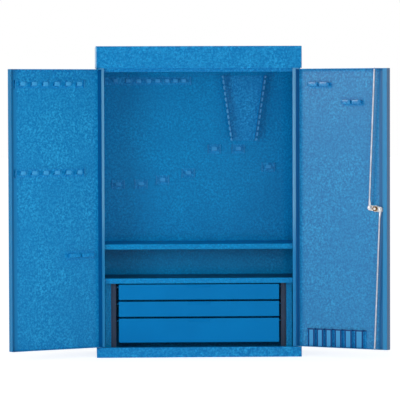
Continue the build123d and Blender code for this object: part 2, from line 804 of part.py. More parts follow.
# each rod runs from its cam pin to the middle of its slot in the door's end
for pin_place, end_height, name in (
    (pin_places[0], door_top + rod_overrun, "upper_lock_rod"),
    (pin_places[1], door_bottom - rod_overrun, "lower_lock_rod"),
):
    run = Vector(-pin_place[0], end_height - lock_height - pin_place[1])
    lean = degrees(atan2(run.X, abs(run.Y)))
    eye_plane = lock_plane(rod_back)
    eye_centre = eye_plane.from_local_coords(Vector(*pin_place, 0))
    rod_line = (eye_plane.x_dir * run.X + Vector(0, 0, run.Y)).normalized()
    rod_rise = eye_plane.z_dir * (rod_lift + rod_diameter / 2)
    rod_start = eye_centre + rod_rise + rod_line * (rod_eye / 2 - rod_eye_inset)
    with BuildPart() as rod:
        with BuildSketch(Plane(origin=rod_start, x_dir=eye_plane.z_dir, z_dir=rod_line)):
            Circle(rod_diameter / 2)
        extrude(amount=run.length - rod_eye / 2 + rod_eye_inset)
        with BuildSketch(eye_plane):
            with Locations(pin_place):
                Circle(rod_eye / 2)
                Circle(cam_pin / 2 + hinge_clearance, mode=Mode.SUBTRACT)
        extrude(amount=rod_plate)
    write(rod, name)
    print(name, "lean at rest", round(lean, 3))
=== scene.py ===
import json
import logging
import math
from collections.abc import Sequence
from dataclasses import dataclass
from enum import Enum

import bmesh
import bpy
import numpy as np
from mathutils import Matrix, Vector


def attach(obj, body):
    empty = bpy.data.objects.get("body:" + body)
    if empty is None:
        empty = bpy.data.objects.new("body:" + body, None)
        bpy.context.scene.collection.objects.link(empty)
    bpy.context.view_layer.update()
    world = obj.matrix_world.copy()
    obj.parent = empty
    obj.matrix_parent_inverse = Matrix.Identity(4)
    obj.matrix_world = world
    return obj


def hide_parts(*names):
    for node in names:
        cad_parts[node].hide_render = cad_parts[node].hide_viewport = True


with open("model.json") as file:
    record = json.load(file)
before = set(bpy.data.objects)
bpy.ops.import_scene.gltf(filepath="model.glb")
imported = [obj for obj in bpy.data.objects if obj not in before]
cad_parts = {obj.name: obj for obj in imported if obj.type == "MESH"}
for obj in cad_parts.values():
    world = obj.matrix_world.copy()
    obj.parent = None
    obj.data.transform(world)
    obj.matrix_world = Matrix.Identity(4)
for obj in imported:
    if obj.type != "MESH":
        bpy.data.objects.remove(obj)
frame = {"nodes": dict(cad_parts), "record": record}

# Looks of a blue sheet-steel wall tool cabinet: fittings, paint, studio and camera. Metres, +Z up.

log = logging.getLogger("tool_cabinet")
Pair = tuple[float, float]
Profile = Sequence[Pair]
MM = 0.001
UP = np.array([0.0, 0.0, 1.0])
ACROSS = np.array([1.0, 0.0, 0.0])
HINGE_X, HINGE_Y = 320.8, -120.8  # the right door's pin
PIN_TO_FACE = -3.0  # from the pin out to the pan's inner face


# --- places on the cabinet
@dataclass(frozen=True)
class Placing:
    """A flat panel's own axes: u along it, n out of it towards the user, z up. Lengths in millimetres."""

    origin: Pair
    along: Pair
    outward: Pair

    def world(self, local: np.ndarray) -> np.ndarray:
        """Turns (u, n, z) points into places in the part's frame.

        Args:
            local: array (..., 3) of millimetres along u, n and z.

        Returns:
            Array of the same shape in metres.
        """
        out = np.empty_like(local, dtype=float)
        for axis in (0, 1):
            out[..., axis] = (self.origin[axis] + local[..., 0] * self.along[axis]
                              + local[..., 1] * self.outward[axis])
        out[..., 2] = local[..., 2]
        return out * MM

    def plane(self, facing: Pair, beyond: float = 0.0) -> float:
        """Metres along a level direction to a plane that many millimetres beyond this placing's origin."""
        return (self.origin[0] * facing[0] + self.origin[1] * facing[1] + beyond) * MM


def door_placing(side: int, opening: float) -> Placing:
    """The inner face of a standing-open door, with u from the hinge pin.

    Args:
        side: -1 for the left door, 1 for the right.
        opening: angle in degrees that the door stands open.

    Returns:
        The door's placing, whose n = 0 is the panel's inner face.
    """
    swing = math.radians(180.0 - opening)
    outward = (-side * math.sin(swing), -math.cos(swing))
    along = (side * math.cos(swing), -math.sin(swing))
    origin = (side * HINGE_X + PIN_TO_FACE * outward[0], HINGE_Y + PIN_TO_FACE * outward[1])
    return Placing(origin, along, outward)


WALL = Placing((0.0, 122.0), (1.0, 0.0), (0.0, -1.0))
LEFT_DOOR = door_placing(-1, 150.5)
RIGHT_DOOR = door_placing(1, 147.5)
DRAWER_FACE = Placing((0.0, -98.0), (1.0, 0.0), (0.0, -1.0))
POCKET_SPANS = ((33.5, 22), (64.7, 22), (95.8, 22), (129, 23), (164.5, 24), (202, 26.5))  # start and width
POCKET_DEPTH = 9.0
POCKET_TOP = 92.5
SPOT_WELD = ((2.6, -0.1), (2.5, 0.25), (1.6, 0.5), (0.05, 0.6))  # radius, and height off the sheet
RACK_WELD = ((3.0, -0.1), (2.8, 0.3), (1.7, 0.55), (0.05, 0.6))
RIVET = ((2.4, -0.6), (2.4, 1.2), (1.6, 1.9), (0.05, 2.1))


# --- meshes
class Shell:
    """Collects closed surfaces and turns them into one piece."""

    def __init__(self, place: Placing) -> None:
        """Starts an empty shell in a panel's axes."""
        self.place = place
        self.points: list[np.ndarray] = []
        self.faces: list[tuple[int, ...]] = []
        self.count = 0

    def grid(self, surface: np.ndarray, ring: bool = False) -> "Shell":
        """Adds a surface given as points on a grid of two parameters, whose last column joins the first.

        Args:
            surface: array (rows, columns, 3) in the panel's millimetres.
            ring: whether the last row joins the first; if not, a face closes each of them.

        Returns:
            This shell, so calls can follow each other.
        """
        rows, cols = surface.shape[:2]
        index = np.arange(rows * cols).reshape(rows, cols) + self.count
        here, below = (index, np.roll(index, -1, axis=0)) if ring else (index[:-1], index[1:])
        quads = np.stack([here, np.roll(here, -1, 1), np.roll(below, -1, 1), below], axis=-1)
        self.faces += [tuple(quad) for quad in quads.reshape(-1, 4).tolist()]
        if not ring:
            self.faces += [tuple(index[0][::-1].tolist()), tuple(index[-1].tolist())]
        self.points.append(self.place.world(surface.reshape(-1, 3)))
        self.count += rows * cols
        return self

    def piece(self, name: str, body: str, coat: "Coat", slot: str, replaces: tuple[str, ...],
              smooth: float = 35.0) -> bpy.types.Object:
        """Makes the collected surfaces one object that rides on a body.

        Args:
            name: the piece's name.
            body: body of the frame that carries it.
            coat: what it is finished in.
            slot: material slot of the record; not used.
            replaces: nodes that it stands for.
            smooth: edges blunter than this angle in degrees are shaded smooth.

        Returns:
            The new object.
        """
        mesh = bpy.data.meshes.new(name)
        mesh.from_pydata(np.concatenate(self.points).tolist(), [], self.faces)
        work = bmesh.new()
        work.from_mesh(mesh)
        bmesh.ops.remove_doubles(work, verts=work.verts, dist=1e-7)
        bmesh.ops.recalc_face_normals(work, faces=work.faces)
        work.to_mesh(mesh)
        work.free()
        mesh.shade_smooth()
        mesh.set_sharp_from_angle(angle=math.radians(smooth))
        mesh.materials.append(coat.value.material())
        made = bpy.data.objects.new(name, mesh)
        bpy.context.scene.collection.objects.link(made)
        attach(made, body)
        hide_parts(*replaces)
        log.info("%s: %d faces on %s", name, len(mesh.polygons), body)
        return made


def section(width: float, height: float, corner: float, steps: int = 3) -> np.ndarray:
    """Outline of a rectangle with rounded corners: each corner is a quarter circle.

    Args:
        width: size across.
        height: size up.
        corner: corner radius.
        steps: points on each corner beyond its first.

    Returns:
        Array (4 * (steps + 1), 2), anticlockwise.
    """
    corner = min(corner, width / 2 - 1e-4, height / 2 - 1e-4)
    turn = np.linspace(0, math.pi / 2, steps + 1)
    quarters = []
    for number, (sx, sy) in enumerate(((1, 1), (-1, 1), (-1, -1), (1, -1))):
        angle = turn + number * math.pi / 2
        centre = np.array([sx * (width / 2 - corner), sy * (height / 2 - corner)])
        quarters.append(centre + corner * np.stack([np.cos(angle), np.sin(angle)], -1))
    return np.concatenate(quarters)


def rounded_path(points: Profile, radius: float, steps: int = 6) -> np.ndarray:
    """A bent line: straight runs joined by quadratic curves, each between two points near its corner.

    Args:
        points: corners of the line.
        radius: distance from a corner to where its bend starts.
        steps: points on each bend.

    Returns:
        Array (count, 2).
    """
    share = 0.49  # of a run at most, so that two bends never meet
    corners = np.asarray(points, float)
    path = [corners[0]]
    t = np.linspace(0, 1, steps)[:, None]
    for before, corner, after in zip(corners[:-2], corners[1:-1], corners[2:]):
        back, ahead = before - corner, after - corner
        reach = min(radius, np.linalg.norm(back) * share, np.linalg.norm(ahead) * share)
        start = corner + back / np.linalg.norm(back) * reach
        stop = corner + ahead / np.linalg.norm(ahead) * reach
        path += list((1 - t) ** 2 * start + 2 * t * (1 - t) * corner + t ** 2 * stop)
    path.append(corners[-1])
    return np.asarray(path)


def strap(line: np.ndarray, side: np.ndarray, half_widths: np.ndarray, thickness: float,
          closed: bool = False) -> np.ndarray:
    """A flat strap along a line: at each point a thin rounded section stands square to the line.

    Args:
        line: array (count, 3), the middle of the strap.
        side: unit vector across the strap.
        half_widths: array (count,) of half its width at each point.
        thickness: sheet thickness.
        closed: whether the line is a loop.

    Returns:
        Grid (count, columns, 3) for Shell.grid.
    """
    if closed:
        ahead = np.roll(line, -1, 0) - np.roll(line, 1, 0)
    else:
        ahead = np.gradient(line, axis=0)
    ahead = ahead / np.linalg.norm(ahead, axis=1, keepdims=True)
    thick = np.cross(ahead, side)
    thick = thick / np.linalg.norm(thick, axis=1, keepdims=True)
    edge = section(2.0, thickness, thickness * 0.3, 2)
    across = np.sign(edge[:, 0]) * (half_widths[:, None] - (1.0 - np.abs(edge[:, 0])))
    return line[:, None] + across[..., None] * side + edge[None, :, 1, None] * thick[:, None]


def lathe(profile: Profile, place: Pair, turns: int = 32, shape: np.ndarray | float = 1.0) -> np.ndarray:
    """A surface of revolution: each (radius, n) of the profile becomes a ring round an axis out of the panel.

    Args:
        profile: radius and n pairs along the axis.
        place: u and z of the axis.
        turns: points on each ring.
        shape: factor on the radius at each point of a ring.

    Returns:
        Grid (profile, turns, 3).
    """
    angle = np.linspace(0, 2 * math.pi, turns, endpoint=False)
    pairs = np.asarray(profile, float)
    radius = pairs[:, :1] * np.broadcast_to(shape, turns)
    first, second = radius * np.cos(angle), radius * np.sin(angle)
    height = np.repeat(pairs[:, 1:], turns, axis=1)
    return np.stack((first, height, second), -1) + np.array([place[0], 0.0, place[1]])


def dome(profile: Profile, sheet: float, place: Pair) -> np.ndarray:
    """A weld or rivet head on a sheet: a lathe whose profile is measured from the sheet's face.

    Args:
        profile: radius and height off the sheet.
        sheet: n of the sheet's face.
        place: u and z of its middle.

    Returns:
        Grid (profile, 16, 3).
    """
    return lathe([(radius, sheet + height) for radius, height in profile], place, 16)


def turned(outline: np.ndarray, degrees: float, centre: Pair) -> np.ndarray:
    """Turns an outline about 0 and moves it.

    Each point goes to x cos a - y sin a and x sin a + y cos a, plus the centre.

    Args:
        outline: array (count, 2).
        degrees: the turn a, anticlockwise.
        centre: where 0 goes.

    Returns:
        Array of the same shape.
    """
    cos, sin = math.cos(math.radians(degrees)), math.sin(math.radians(degrees))
    return outline @ np.array([[cos, sin], [-sin, cos]]) + centre


def drawn_in(outline: np.ndarray, amount: float) -> np.ndarray:
    """Moves each point of an anticlockwise outline inwards, square to the line through its two neighbours.

    Args:
        outline: array (count, 2).
        amount: distance inwards.

    Returns:
        Array of the same shape.
    """
    ahead = np.roll(outline, -1, 0) - np.roll(outline, 1, 0)
    outward = np.column_stack([ahead[:, 1], -ahead[:, 0]])
    return outline - amount * outward / np.linalg.norm(outward, axis=1, keepdims=True)


def plate(outline: np.ndarray, profile: Profile) -> np.ndarray:
    """A plate whose edge follows a profile: each (inset, n) gives one ring of the outline at that depth.

    Args:
        outline: array (count, 2) of u and z, anticlockwise.
        profile: inset and n of each ring, from one face to the other.

    Returns:
        Grid (profile, count, 3).
    """
    return np.stack([np.insert(drawn_in(outline, inset), 1, n, axis=1) for inset, n in profile])


def slab(outline: np.ndarray, low: float, high: float, edge: float = 0.3) -> np.ndarray:
    """A flat plate from n = low to n = high with eased edges.

    Args:
        outline: array (count, 2) of u and z, anticlockwise.
        low: n of its back face.
        high: n of its front face.
        edge: how far the edges are eased.

    Returns:
        Grid (4, count, 3).
    """
    return plate(outline, [(edge, low), (0.0, low + edge), (0.0, high - edge), (edge, high)])


def pan(width: float, height: float, corner: float, centre: Pair, profile: Profile) -> np.ndarray:
    """A folded pan: each (inset, n) is a rounded rectangle that much smaller all round, at that depth.

    Args:
        width: outer size along u.
        height: outer size up.
        corner: corner radius at the outer size.
        centre: its middle in u and z.
        profile: inset and n of each ring.

    Returns:
        Grid (profile, count, 3).
    """
    rings = []
    for inset, n in profile:
        ring = section(width - 2 * inset, height - 2 * inset, max(corner - inset, 0.05), 4) + centre
        rings.append(np.insert(ring, 1, n, axis=1))
    return np.stack(rings)


def bar(line: np.ndarray, side: np.ndarray, half_widths: np.ndarray, half_depths: np.ndarray) -> np.ndarray:
    """A round or oval bar along a line: a unit circle scaled to the half width and depth at each point.

    Args:
        line: array (count, 3), the middle of the bar.
        side: unit vector along which the half widths are measured.
        half_widths: array (count,).
        half_depths: array (count,).

    Returns:
        Grid (count, columns, 3).
    """
    unit = section(2.0, 2.0, 1.0, 5)
    ahead = np.gradient(line, axis=0)
    deep = np.cross(ahead / np.linalg.norm(ahead, axis=1, keepdims=True), side)
    deep = deep / np.linalg.norm(deep, axis=1, keepdims=True)
    across = unit[None, :, 0, None] * half_widths[:, None, None] * side
    return line[:, None] + across + unit[None, :, 1, None] * half_depths[:, None, None] * deep[:, None]


# --- shader maths
class Wire:
    """A shader socket that Python arithmetic works on; each operation adds one Math node."""

    def __init__(self, graph: "Graph", socket: bpy.types.NodeSocket) -> None:
        """Wraps one output socket."""
        self.graph, self.socket = graph, socket

    def _math(self, operation: str, *values: "Wire | float") -> "Wire":
        """Adds a Math node with the given inputs."""
        return self.graph.node("ShaderNodeMath", {"operation": operation}, dict(enumerate(values)), 0)

    def __add__(self, other: "Wire | float") -> "Wire":
        """Sum."""
        return self._math("ADD", self, other)

    def __sub__(self, other: "Wire | float") -> "Wire":
        """Difference."""
        return self._math("SUBTRACT", self, other)

    def __mul__(self, other: "Wire | float") -> "Wire":
        """Product."""
        return self._math("MULTIPLY", self, other)

    def __rsub__(self, other: float) -> "Wire":
        """Number minus wire."""
        return self._math("SUBTRACT", other, self)

    def __abs__(self) -> "Wire":
        """Distance from zero."""
        return self._math("ABSOLUTE", self)

    __radd__ = __add__
    __rmul__ = __mul__

    def least(self, other: "Wire | float") -> "Wire":
        """The smaller of two."""
        return self._math("MINIMUM", self, other)

    def over(self, low: float, high: float) -> "Wire":
        """0 below low, 1 above high, smooth between."""
        settings = {"interpolation_type": "SMOOTHSTEP"}
        return self.graph.node("ShaderNodeMapRange", settings, {0: self, 1: low, 2: high, 3: 0.0, 4: 1.0}, 0)


class Graph:
    """The node tree of one material or world."""

    def __init__(self, owner: bpy.types.Material | bpy.types.World) -> None:
        """Empties the owner's node tree."""
        owner.use_nodes = True
        self.made, self.tree = owner, owner.node_tree
        self.tree.nodes.clear()
        self.places = self.node("ShaderNodeTexCoord", {}, {}, "Object")

    def node(self, kind: str, settings: dict[str, object], inputs: dict[int | str, object],
             output: int | str) -> Wire:
        """Adds a node.

        Args:
            kind: the node's type.
            settings: its options, set before its sockets.
            inputs: values or wires for its sockets.
            output: the socket to return.

        Returns:
            The wrapped output.
        """
        made = self.tree.nodes.new(kind)
        for key, value in settings.items():
            setattr(made, key, value)
        for key, value in inputs.items():
            if isinstance(value, Wire):
                self.tree.links.new(value.socket, made.inputs[key])
            else:
                made.inputs[key].default_value = value
        return Wire(self, made.outputs[output])

    def place(self, axis: str) -> Wire:
        """X, Y or Z of the place on the object, in metres."""
        return self.node("ShaderNodeSeparateXYZ", {}, {0: self.places}, axis)

    def along(self, facing: Pair, start: float) -> Wire:
        """Level distance on the object: facing . (x, y) - start, in metres."""
        return self.place("X") * facing[0] + self.place("Y") * facing[1] - start

    def ray(self, kind: str) -> Wire:
        """1 for the light paths of a kind, such as Camera or Glossy, and 0 for the rest."""
        return self.node("ShaderNodeLightPath", {}, {}, f"Is {kind} Ray")

    def noise(self, scale: float, detail: float = 2.0, rough: float = 0.5) -> Wire:
        """Smooth noise over the piece, about 0 to 1."""
        inputs = {"Vector": self.places, "Scale": scale, "Detail": detail, "Roughness": rough}
        return self.node("ShaderNodeTexNoise", {}, inputs, "Fac")

    def cells(self, scale: float, smooth: float = 0.6) -> Wire:
        """Distance to the nearest of many scattered points: round cells."""
        settings = {"feature": "SMOOTH_F1"}
        inputs = {"Vector": self.places, "Scale": scale, "Smoothness": smooth}
        return self.node("ShaderNodeTexVoronoi", settings, inputs, "Distance")

    def blend(self, amount: Wire | float, first: tuple | Wire, second: tuple | Wire) -> Wire:
        """Colour between two colours."""
        settings = {"data_type": "RGBA"}
        return self.node("ShaderNodeMix", settings, {0: amount, 6: first, 7: second}, 2)

    def bump(self, height: Wire, strength: float, distance: float) -> Wire:
        """Normal that follows a height."""
        inputs = {"Strength": strength, "Distance": distance, "Height": height}
        return self.node("ShaderNodeBump", {}, inputs, 0)

    def surface(self, **sockets: object) -> bpy.types.Material:
        """Ends the material in one shader.

        Args:
            sockets: Principled sockets by name, with _ for a space.

        Returns:
            The finished material.
        """
        inputs = {key.replace("_", " "): value for key, value in sockets.items()}
        return self.finish(self.node("ShaderNodeBsdfPrincipled", {}, inputs, 0), "ShaderNodeOutputMaterial")

    def finish(self, shader: Wire, kind: str) -> bpy.types.Material | bpy.types.World:
        """Ends the tree.

        Args:
            shader: the shader to show.
            kind: type of the output node that it is joined to.

        Returns:
            The tree's owner.
        """
        end = self.tree.nodes.new(kind)
        self.tree.links.new(shader.socket, end.inputs["Surface"])
        return self.made


def srgb(red: float, green: float, blue: float) -> tuple[float, float, float, float]:
    """Turns a display colour into linear light, by the sRGB curve.

    Args:
        red: 0 to 255.
        green: 0 to 255.
        blue: 0 to 255.

    Returns:
        Linear red, green and blue with an alpha of 1.
    """
    def linear(level: float) -> float:
        """One channel."""
        level /= 255.0
        return level / 12.92 if level <= 0.04045 else ((level + 0.055) / 1.055) ** 2.4
    return (linear(red), linear(green), linear(blue), 1.0)


# --- finishes
PAINT_EDGE = 0.0002  # half the width over which one tone of paint gives way to another
DIAGONAL = (-0.7071, -0.7071)  # to the front left
HEADER_BEND = 0.3177  # along it, where the header's left front bend starts
TO_BACK = (0.0, 1.0)
SHELF_FLANGE_BACK = -0.0955


@dataclass(frozen=True)
class Finish:
    """A finish with one shared material."""

    name: str

    def material(self) -> bpy.types.Material:
        """The finish's material, made at its first use."""
        return bpy.data.materials.get(self.name) or self.build(Graph(bpy.data.materials.new(self.name)))

    def build(self, graph: Graph) -> bpy.types.Material:
        """Fills in the material."""
        raise NotImplementedError


@dataclass(frozen=True)
class HammerPaint(Finish):
    """Hammertone paint: round shallow cells, a little darker where the paint has run off."""

    light: tuple = srgb(38, 164, 222)
    dark: tuple = srgb(0, 116, 182)
    cell: float = 190.0
    depth: float = 0.0004
    gloss: float = 0.34
    shine: float = 0.1
    mottle: float = 0.75
    fleck: float = 140.0
    grain: float = 420.0
    cloud: float = 9.0

    def tint(self, graph: Graph, colour: Wire) -> Wire:
        """Colour of the paint where a piece differs from plain paint; plain here."""
        return colour

    def build(self, graph: Graph) -> bpy.types.Material:
        """Cells, flecks and fine grain drive colour, roughness and a bump.

        Args:
            graph: the material's empty tree.

        Returns:
            The finished material.
        """
        cells = graph.cells(self.cell)
        flecks = graph.noise(self.fleck, 1.5, 0.7) - 0.5
        grain = graph.noise(self.grain, 2.0, 0.6)
        cloud = graph.noise(self.cloud, 3.0, 0.6)
        spread = cloud.over(0.35, 0.65) * (1.5 * self.mottle) + 0.7 * self.mottle
        tone = (1.0 - cells.over(0.15, 0.75)) * 0.2 + flecks * spread + grain * 0.2 + cloud * 0.2 + 0.2
        colour = graph.blend(tone.over(0.22, 1.0), self.dark, self.light)
        relief = graph.bump(cells * 0.8 + grain * 0.3, 0.5, self.depth)
        return graph.surface(Base_Color=self.tint(graph, colour), Roughness=self.gloss + 0.14 * grain,
                             Specular_IOR_Level=self.shine, Normal=relief, Coat_Weight=0.12,
                             Coat_Roughness=0.15)


@dataclass(frozen=True)
class ZonePaint(HammerPaint):
    """Hammertone paint of other tones beyond upright planes: painted highlights on faces that catch the
    light, and painted shade in folds, behind flanges and under a shelf.
    """

    zones: tuple = ()

    def tint(self, graph: Graph, colour: Wire) -> Wire:
        """Takes each zone's tone where its facing . (x, y) lies beyond its start in metres."""
        for facing, start, tone in self.zones:
            colour = graph.blend(graph.along(facing, start).over(-PAINT_EDGE, PAINT_EDGE), colour, tone)
        return colour


@dataclass(frozen=True)
class StilePaint(HammerPaint):
    """Hammertone paint of a side wall, with a painted sheen on its stile's front face, paler in the upper
    part.
    """

    shine: float = 0.06
    mottle: float = 0.4
    front: float = -0.0988
    fade: tuple = (0.3, 0.5)
    # painted highlight: the pale tone of the stile's front face stands in for the sheen that light lays there
    painted_highlight: tuple = srgb(112, 188, 230)
    plain: tuple = srgb(46, 156, 216)

    def tint(self, graph: Graph, colour: Wire) -> Wire:
        """Takes the front face's tone before y = front, and fades it up the stile from plain to the painted
        highlight.
        """
        tone = graph.blend(graph.place("Z").over(*self.fade), self.plain, self.painted_highlight)
        before = graph.along((0.0, -1.0), -self.front).over(-PAINT_EDGE, PAINT_EDGE)
        return graph.blend(before, colour, tone)


@dataclass(frozen=True)
class PocketPaint(HammerPaint):
    """Hammertone paint of the bit pockets: painted shade along their outlines, where slots round them would
    lie dark, and a painted highlight on their fronts.
    """

    placing: Placing = RIGHT_DOOR
    inset: float = 1.7
    line: float = 2.9
    # painted shade: tone of the dark lines round each pocket
    painted_shade: tuple = srgb(0, 62, 122)
    # painted highlight: tone of the pockets' lit fronts
    painted_highlight: tuple = srgb(64, 156, 212)

    def tint(self, graph: Graph, colour: Wire) -> Wire:
        """The distance to the nearest side or top of a pocket gives the painted shade line, and n the painted
        highlight on the front.

        Args:
            graph: the material's tree.
            colour: colour of the plain paint.

        Returns:
            Colour with the dark lines and pale fronts.
        """
        across, out = self.placing.along, self.placing.outward
        reach = graph.along(across, self.placing.plane(across))
        nearest = abs(graph.place("Z") - (POCKET_TOP - self.inset) * MM)
        for start, span in POCKET_SPANS:
            half = span / 2
            nearest = nearest.least(abs(abs(reach - (start + half) * MM) - (half - self.inset) * MM))
        front = graph.along(out, self.placing.plane(out, POCKET_DEPTH)).over(-2 * PAINT_EDGE, 0.0)
        colour = graph.blend(front, colour, self.painted_highlight)
        return graph.blend(nearest.over(self.line * 0.7 * MM, self.line * MM), self.painted_shade, colour)


@dataclass(frozen=True)
class SmoothPaint(Finish):
    """Smooth semi-gloss paint with faint orange peel."""

    colour: tuple = srgb(0, 122, 188)
    shade: tuple = srgb(0, 117, 182)

    def build(self, graph: Graph) -> bpy.types.Material:
        """Slow clouds in the colour and a fine peel in the bump."""
        cloud = graph.noise(6.0, 2.0, 0.5)
        peel = graph.noise(300.0, 1.0, 0.4)
        colour = graph.blend(cloud.over(0.3, 0.7), self.shade, self.colour)
        return graph.surface(Base_Color=colour, Roughness=0.42 + 0.08 * cloud, Specular_IOR_Level=0.08,
                             Normal=graph.bump(peel, 0.15, 0.0002))


@dataclass(frozen=True)
class Metal(Finish):
    """Bare or plated metal with drawn lines and blotches."""

    bright: tuple = srgb(215, 214, 208)
    dull: tuple = srgb(176, 174, 164)
    rough: float = 0.3
    lines: float = 500.0

    def build(self, graph: Graph) -> bpy.types.Material:
        """Blotches change colour and gloss; fine lines go into the bump."""
        blotch = graph.noise(60.0, 3.0, 0.6)
        lines = graph.noise(self.lines, 1.0, 0.5)
        colour = graph.blend(blotch.over(0.35, 0.7), self.dull, self.bright)
        rough = self.rough + 0.15 * blotch
        return graph.surface(Base_Color=colour, Metallic=1.0, Roughness=rough,
                             Normal=graph.bump(lines, 0.12, 0.0001))


@dataclass(frozen=True)
class Plastic(Finish):
    """Plain plastic, or a dull primer, with a fine grain."""

    colour: tuple = srgb(216, 216, 208)
    shade: tuple = srgb(198, 198, 190)

    def build(self, graph: Graph) -> bpy.types.Material:
        """Grain in colour, gloss and bump."""
        grain = graph.noise(700.0, 2.0, 0.6)
        colour = graph.blend(grain, self.shade, self.colour)
        return graph.surface(Base_Color=colour, Roughness=0.45 + 0.1 * grain,
                             Normal=graph.bump(grain, 0.2, 0.0001))


def zone(placing: Placing, facing: Pair, beyond: float, tone: tuple) -> tuple:
    """A zone of a panel's paint.

    Args:
        placing: the panel's axes.
        facing: level direction in which the zone lies.
        beyond: millimetres along it from the panel's origin to where the zone starts.
        tone: its colour.

    Returns:
        Facing, start in metres and tone, as ZonePaint takes them.
    """
    return (facing, placing.plane(facing, beyond), tone)


def door_paint(name: str, placing: Placing, shine: float, bands: tuple) -> ZonePaint:
    """Paint for a door pan: painted shade inside the hinge flange, then each band's tone from its reach on.

    Args:
        name: the finish's name.
        placing: the door's axes.
        shine: how strongly the paint mirrors.
        bands: reach from the hinge in millimetres and tone of each band, in order.

    Returns:
        The paint.
    """
    to_hinge = (-placing.along[0], -placing.along[1])
    # Painted shade: the dark tone inside the hinge flange stands in for the shade there.
    fold = zone(placing, to_hinge, 2.2, srgb(0, 92, 150))
    reached = tuple(zone(placing, placing.along, reach, tone) for reach, tone in bands)
    return ZonePaint(name, srgb(38, 162, 216), srgb(0, 115, 177), shine=shine, zones=(fold, *reached))


def highlight_paint(name: str, placing: Placing, depth: float, tone: tuple) -> ZonePaint:
    """Paint for holders on a panel, with a painted highlight where they stand out of it beyond a depth in
    millimetres.
    """
    return ZonePaint(name, zones=(zone(placing, placing.outward, depth, tone),))


class Coat(Enum):
    """The finishes on the cabinet."""

    HAMMER = HammerPaint("blue_hammer_paint")
    # Painted shade: the inside paint is a little darker than the outer paint to stand in for the dimmer light
    # inside. Its quieter mottle is the paint's own.
    INSIDE = HammerPaint("blue_hammer_paint_inside", srgb(12, 156, 216), srgb(0, 115, 176), mottle=0.55,
                         shine=0.06)
    # Painted reflection: the pale tone on the header's left front bend stands in for the white surroundings
    # mirrored there.
    HEADER = ZonePaint("blue_hammer_paint_header", zones=((DIAGONAL, HEADER_BEND, srgb(176, 212, 236)),))
    # Painted highlight: the stiles' pale front faces, paler higher up, stand in for sheen.
    LEFT_STILE = StilePaint("blue_hammer_paint_left_stile")
    RIGHT_STILE = StilePaint("blue_hammer_paint_right_stile", painted_highlight=srgb(112, 180, 222),
                             plain=srgb(46, 150, 212))
    # Painted shade: the dark tone on the lower shelf's top behind its front flange stands in for the shade
    # under the upper shelf.
    LOWER_SHELF = ZonePaint("blue_hammer_paint_lower_shelf", srgb(14, 158, 220), srgb(0, 117, 182),
                            mottle=0.4, shine=0.06,
                            zones=((TO_BACK, SHELF_FLANGE_BACK, srgb(30, 82, 118)),))
    # Painted shade: on the left door the darker bands before the free-edge flange stand in for the flange's
    # cast shadow, fading towards the hinge. On the right door the band from 282 mm stands in for the lip's
    # cast shadow and the band from 319.4 mm for the shaded edge flange, with a plain tone on the lip between.
    LEFT_PAN = door_paint("blue_hammer_paint_left_door", LEFT_DOOR, 0.1, (
        (290.0, srgb(16, 126, 186)), (301.0, srgb(8, 106, 160)), (319.4, srgb(10, 130, 188))))
    RIGHT_PAN = door_paint("blue_hammer_paint_right_door", RIGHT_DOOR, 0.5, (
        (282.0, srgb(0, 106, 164)), (293.0, srgb(14, 132, 188)), (319.4, srgb(0, 92, 142))))
    RIGHT_FITTING = HammerPaint("blue_hammer_paint_right_fittings", shine=0.5)
    POCKETS = PocketPaint("blue_hammer_paint_bit_pockets", shine=0.2)
    # Painted highlight: the pale tones on the rack's toothed lips and on the hooks' tongues stand in for the
    # light that catches them.
    RACK = highlight_paint("blue_hammer_paint_rack", WALL, 38.7, srgb(70, 156, 212))
    WALL_HOOK = highlight_paint("blue_hammer_paint_wall_hooks", WALL, 6.8, srgb(50, 148, 208))
    LEFT_HOOK = highlight_paint("blue_hammer_paint_left_hooks", LEFT_DOOR, 6.8, srgb(54, 152, 210))
    DRAWER = SmoothPaint("blue_smooth_paint")
    ZINC = Metal("zinc_plate", srgb(156, 150, 132), srgb(116, 110, 94), 0.5)
    ROD = Metal("bright_drawn_steel", srgb(222, 226, 234), srgb(200, 204, 214), 0.36)
    RUNNER = Plastic("dull_grey_primer", srgb(56, 80, 108), srgb(43, 62, 88))
    CHROME = Metal("satin_chrome", srgb(218, 220, 224), srgb(200, 202, 208), 0.16, 900.0)
    BRASS = Metal("plain_brass", srgb(158, 114, 62), srgb(124, 86, 44), 0.45)
    WASHER = Plastic("pale_nylon")


SLOT_COATS = {
    "cabinet_paint": Coat.HAMMER, "drawer_paint": Coat.DRAWER, "zinc_plate": Coat.ZINC,
    "bright_rod": Coat.ROD, "handle_chrome": Coat.CHROME, "brass": Coat.BRASS,
    "washer_plastic": Coat.WASHER,
}
NODE_COATS = {
    "left_side_wall": Coat.LEFT_STILE, "right_side_wall": Coat.RIGHT_STILE, "left_door_panel": Coat.LEFT_PAN,
    "right_door_panel": Coat.RIGHT_PAN, "header_cap": Coat.HEADER, "lower_shelf": Coat.LOWER_SHELF,
    "back_panel": Coat.INSIDE, "upper_shelf": Coat.INSIDE, "left_housing_side": Coat.INSIDE,
    "right_housing_side": Coat.INSIDE,
}
NODES = frame["record"]["subparts"]
NODE_COATS |= {entry["node"]: Coat.RUNNER for entry in NODES if "_runner" in entry["node"]}


def dress_nodes() -> None:
    """Gives each node of the frame its own finish, or else the one that its material slot names."""
    for entry in NODES:
        node = frame["nodes"][entry["node"]]
        coat = NODE_COATS.get(entry["node"], SLOT_COATS[entry["material_slot"]])
        node.data.materials.clear()
        node.data.materials.append(coat.value.material())


